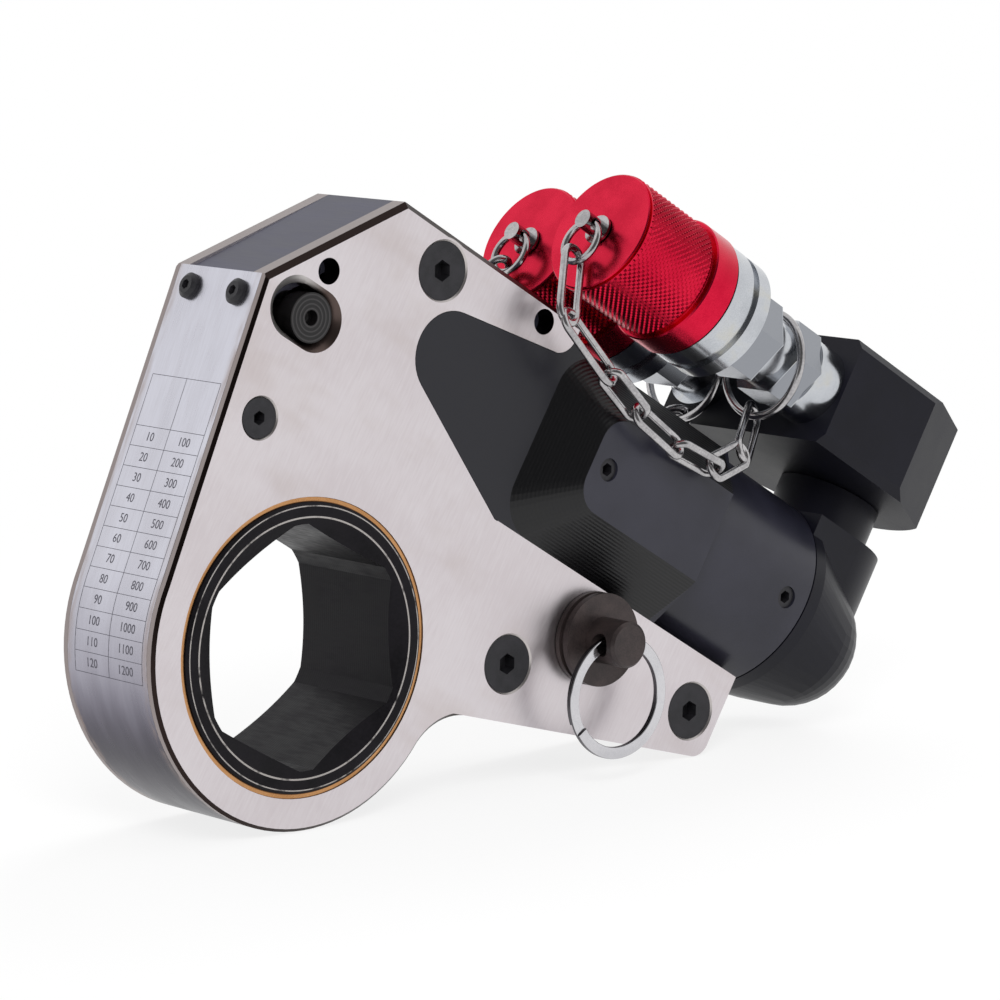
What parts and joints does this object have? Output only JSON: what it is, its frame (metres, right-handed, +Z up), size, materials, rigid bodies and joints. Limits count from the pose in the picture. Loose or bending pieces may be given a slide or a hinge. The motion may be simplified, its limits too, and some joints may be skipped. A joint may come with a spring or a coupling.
{
  "type": "hydraulic torque wrench",
  "caption": "Hollow hydraulic torque wrench: steel ratchet link with a hexagon bore, hooked-in black power head, two-way swivel and capped hose couplers.",
  "frame": {"origin": "centre of the hexagon bore, halfway through the link", "axes": "+X along the tool to the rear, +Y along the bore axis to the far side, +Z up with the wrench standing on its ring and toe"},
  "size_m": [0.2312, 0.0673, 0.1301],
  "materials": {
    "plate_steel": "satin ground",
    "band_steel": "satin",
    "inner_steel": "ground",
    "bronze": "turned",
    "black_oxide": "black oxide",
    "slate": "satin",
    "head_black": "matte black",
    "manifold_black": "matte black",
    "zinc": "zinc plated",
    "red_anodised": "anodised",
    "bright_wire": "nickel",
    "rubber": "matte"
  },
  "bodies": {
    "link": {"near_side_plate": "plate_steel", "far_side_plate": "plate_steel", "near_bush": "bronze", "far_bush": "bronze", "roof_block": "slate", "heel_spacer": "black_oxide", "toe_spacer": "black_oxide", "table_band": "band_steel", "band_screws": "black_oxide", "plate_screws": "black_oxide", "pivot_screws": "black_oxide", "pawl_pivot": "inner_steel", "reaction_spring": "inner_steel", "power_head": "head_black", "rod_gland": "bronze", "rod_seal": "rubber", "head_set_screws": "black_oxide"},
    "ratchet": {"ratchet": "black_oxide"},
    "drive": {"near_drive_plate": "inner_steel", "far_drive_plate": "inner_steel", "drive_pin": "inner_steel", "pawl_pin": "inner_steel", "pawl_spring": "inner_steel"},
    "drive_pawl": {"drive_pawl": "black_oxide"},
    "reaction_pawl": {"reaction_pawl": "black_oxide", "release_pin": "black_oxide"},
    "piston": {"piston": "inner_steel", "piston_rod": "inner_steel", "piston_seal": "rubber"},
    "end_cap": {"end_cap": "head_black", "end_cap_seal": "rubber", "swivel_post": "head_black", "post_seals": "rubber", "post_retainer": "head_black"},
    "manifold": {"manifold": "manifold_black", "near_adapter": "zinc", "near_coupler": "zinc", "near_sleeve": "zinc", "far_adapter": "zinc", "far_coupler": "zinc", "far_sleeve": "zinc", "near_cap_stud": "bright_wire", "far_cap_stud": "bright_wire", "near_split_ring": "bright_wire", "far_split_ring": "bright_wire", "near_loop_ring": "bright_wire", "far_loop_ring": "bright_wire"},
    "near_cap": {"near_cap": "red_anodised"},
    "far_cap": {"far_cap": "red_anodised"},
    "near_chain": {"near_chain": "bright_wire"},
    "far_chain": {"far_chain": "bright_wire"},
    "retaining_pin": {"retaining_pin": "black_oxide"},
    "key_ring": {"key_ring": "bright_wire"}
  },
  "joints": [
    {"name": "ratchet_turn", "type": "hinge", "parent": "link", "child": "ratchet", "pos_m": [0, 0, 0], "axis": [0, 1, 0], "continuous": true},
    {"name": "piston_stroke", "type": "slide", "parent": "link", "child": "piston", "axis": [-0.848, 0, 0.5299], "range_m": [0, 0.026]},
    {"name": "drive_swing", "type": "hinge", "parent": "link", "child": "drive", "pos_m": [0, 0, 0], "axis": [0, -1, 0], "range_deg": [0, 22.31]},
    {"name": "drive_pawl_lift", "type": "hinge", "parent": "drive", "child": "drive_pawl", "pos_m": [0.02507, 0, 0.0391], "axis": [0, -1, 0], "range_deg": [0, 6]},
    {"name": "reaction_pawl_lift", "type": "hinge", "parent": "link", "child": "reaction_pawl", "pos_m": [-0.01017, 0, 0.04845], "axis": [0, -1, 0], "range_deg": [0, 7.5]},
    {"name": "retaining_pin_pull", "type": "slide", "parent": "link", "child": "retaining_pin", "axis": [0, -1, 0], "range_m": [0, 0.03]},
    {"name": "key_ring_swing", "type": "hinge", "parent": "retaining_pin", "child": "key_ring", "pos_m": [0.07753, -0.02435, -0.00765], "axis": [1, 0, 0], "range_deg": [-90, 6]},
    {"name": "end_cap_swivel", "type": "hinge", "parent": "link", "child": "end_cap", "pos_m": [0.13674, 0, -0.00762], "axis": [0.848, 0, -0.5299], "range_deg": [-60, 60], "deforming": ["near_chain", "far_chain"]},
    {"name": "manifold_swivel", "type": "hinge", "parent": "end_cap", "child": "manifold", "pos_m": [0.16578, 0, 0.01433], "axis": [0.5299, 0, 0.848], "continuous": true, "deforming": ["near_chain", "far_chain"]},
    {"name": "near_cap_turn", "type": "hinge", "parent": "manifold", "child": "near_cap", "pos_m": [0.09248, -0.01675, 0.07251], "axis": [-0.848, 0, 0.5299], "continuous": true},
    {"name": "far_cap_turn", "type": "hinge", "parent": "manifold", "child": "far_cap", "pos_m": [0.10096, 0.01675, 0.06721], "axis": [-0.848, 0, 0.5299], "continuous": true},
    {"name": "near_chain_swing", "type": "hinge", "parent": "manifold", "child": "near_chain", "pos_m": [0.0729, -0.0168, 0.0759], "axis": [-0.8058, -0.0167, 0.592], "range_deg": [0, 15]},
    {"name": "far_chain_swing", "type": "hinge", "parent": "manifold", "child": "far_chain", "pos_m": [0.08138, 0.0168, 0.0706], "axis": [0.8047, -0.0171, -0.5934], "range_deg": [0, 15]}
  ],
  "couplings": [
    {"joint": "drive_swing", "follows": "piston_stroke", "rad_per_m": 14.96}
  ]
}
